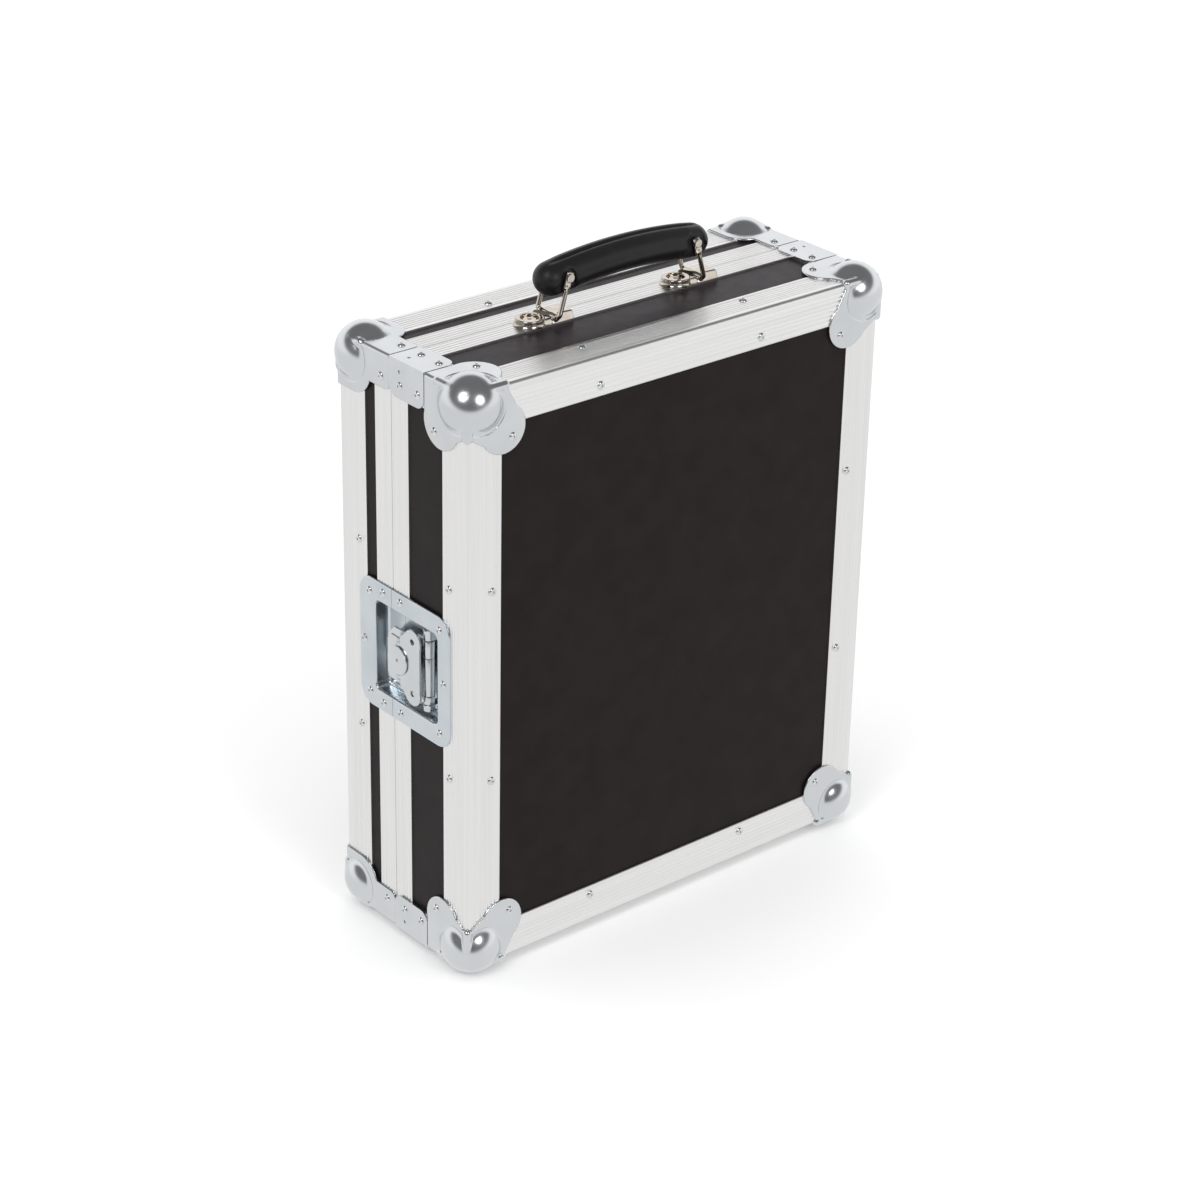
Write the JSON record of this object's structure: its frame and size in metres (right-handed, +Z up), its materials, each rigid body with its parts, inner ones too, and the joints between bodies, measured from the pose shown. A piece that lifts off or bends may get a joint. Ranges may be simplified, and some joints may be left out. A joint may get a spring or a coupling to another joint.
{
  "type": "miniature carry case",
  "caption": "Upright board carry case with aluminium edging, steel ball corners, recessed butterfly latches, a hinged grip, a lift-off lid and foam pockets for miniatures.",
  "frame": {"origin": "middle of the bounding box's lower face, on the floor under the ball corners", "axes": "+Z up as the case stands, +Y from the base half towards the lid, +X to the right when facing the base's big board; the left latch is on -X and the handle on +Z"},
  "size_m": [0.4, 0.164, 0.5115],
  "materials": {
    "panel": "hard laminate on plywood, very dark brown, fine grain, low sheen",
    "edging": "bright mill finish with fine lengthwise ribs",
    "steel": "bright zinc-plated pressed steel",
    "handle_metal": "nickel-plated steel",
    "grip": "moulded black, satin",
    "foam": "open-cell foam"
  },
  "bodies": {
    "base": {"base_board": "panel", "base_left_board": "panel", "base_right_board": "panel", "base_top_board": "panel", "base_bottom_board": "panel", "base_left_angle": "edging", "base_right_angle": "edging", "base_top_angle": "edging", "base_bottom_angle": "edging", "base_depth_angles": "edging", "base_closing_profiles": "edging", "base_braces": "steel", "base_ball_corner_top_left": "steel", "base_ball_corner_top_right": "steel", "base_ball_corner_bottom_left": "steel", "base_ball_corner_bottom_right": "steel", "base_rivets": "steel", "base_foam_floor": "foam", "base_foam_walls": "foam", "base_foam_long_dividers": "foam", "base_foam_short_dividers": "foam", "latch_left_dish_base": "steel", "latch_left_hinge_pin": "steel", "latch_right_dish_base": "steel", "latch_right_hinge_pin": "steel", "handle_left_plate": "handle_metal", "handle_right_plate": "handle_metal", "handle_screws": "handle_metal"},
    "lid": {"lid_board": "panel", "lid_left_board": "panel", "lid_right_board": "panel", "lid_top_board": "panel", "lid_bottom_board": "panel", "lid_left_angle": "edging", "lid_right_angle": "edging", "lid_top_angle": "edging", "lid_bottom_angle": "edging", "lid_depth_angles": "edging", "lid_closing_profiles": "edging", "lid_ball_corner_top_left": "steel", "lid_ball_corner_top_right": "steel", "lid_ball_corner_bottom_left": "steel", "lid_ball_corner_bottom_right": "steel", "lid_rivets": "steel", "lid_foam": "foam", "latch_left_dish_lid": "steel", "latch_right_dish_lid": "steel"},
    "left_arm": {"latch_left_arm": "steel"},
    "left_cam": {"latch_left_cam": "steel"},
    "left_wing": {"latch_left_wing": "steel"},
    "left_hook": {"latch_left_hook": "steel"},
    "right_arm": {"latch_right_arm": "steel"},
    "right_cam": {"latch_right_cam": "steel"},
    "right_wing": {"latch_right_wing": "steel"},
    "right_hook": {"latch_right_hook": "steel"},
    "left_stirrup": {"handle_left_stirrup": "handle_metal"},
    "grip": {"handle_grip": "grip", "handle_left_cross_pin": "handle_metal"},
    "right_stirrup": {"handle_right_stirrup": "handle_metal", "handle_right_cross_pin": "handle_metal"}
  },
  "joints": [
    {"name": "lid_lift", "type": "slide", "parent": "base", "child": "lid", "axis": [0, 1, 0], "range_m": [0, 0.12]},
    {"name": "left_arm_swing", "type": "hinge", "parent": "base", "child": "left_arm", "pos_m": [-0.1865, -0.023, 0.235], "axis": [0, 0, 1], "range_deg": [0, 95]},
    {"name": "left_cam_turn", "type": "hinge", "parent": "left_arm", "child": "left_cam", "pos_m": [-0.1915, 0.0025, 0.235], "axis": [-1, 0, 0], "range_deg": [0, 180]},
    {"name": "left_wing_fold", "type": "hinge", "parent": "left_cam", "child": "left_wing", "pos_m": [-0.19405, 0.0025, 0.235], "axis": [0, 0, -1], "range_deg": [0, 90]},
    {"name": "left_hook_slide", "type": "slide", "parent": "left_arm", "child": "left_hook", "axis": [0, 1, 0], "range_m": [0, 0.00801]},
    {"name": "right_arm_swing", "type": "hinge", "parent": "base", "child": "right_arm", "pos_m": [0.1865, -0.023, 0.235], "axis": [0, 0, -1], "range_deg": [0, 95]},
    {"name": "right_cam_turn", "type": "hinge", "parent": "right_arm", "child": "right_cam", "pos_m": [0.1915, 0.0025, 0.235], "axis": [1, 0, 0], "range_deg": [0, 180]},
    {"name": "right_wing_fold", "type": "hinge", "parent": "right_cam", "child": "right_wing", "pos_m": [0.19405, 0.0025, 0.235], "axis": [0, 0, 1], "range_deg": [0, 90]},
    {"name": "right_hook_slide", "type": "slide", "parent": "right_arm", "child": "right_hook", "axis": [0, 1, 0], "range_m": [0, 0.00801]},
    {"name": "handle_sway", "type": "hinge", "parent": "base", "child": "left_stirrup", "pos_m": [-0.0605, 0.0028, 0.4675], "axis": [0, 1, 0], "range_deg": [-25, 25]},
    {"name": "grip_turn", "type": "hinge", "parent": "left_stirrup", "child": "grip", "pos_m": [-0.052, 0.0028, 0.49627], "axis": [0, 1, 0], "range_deg": [-28.5, 28.5]},
    {"name": "right_stirrup_swing", "type": "hinge", "parent": "base", "child": "right_stirrup", "pos_m": [0.0755, 0.0028, 0.4675], "axis": [0, 1, 0], "range_deg": [-25, 25]}
  ],
  "couplings": [
    {"joint": "left_hook_slide", "follows": "left_cam_turn", "m_per_rad": 0.0025465},
    {"joint": "right_hook_slide", "follows": "right_cam_turn", "m_per_rad": 0.0025465},
    {"joint": "grip_turn", "follows": "handle_sway", "ratio": -1.135},
    {"joint": "right_stirrup_swing", "follows": "handle_sway", "ratio": 1}
  ]
}
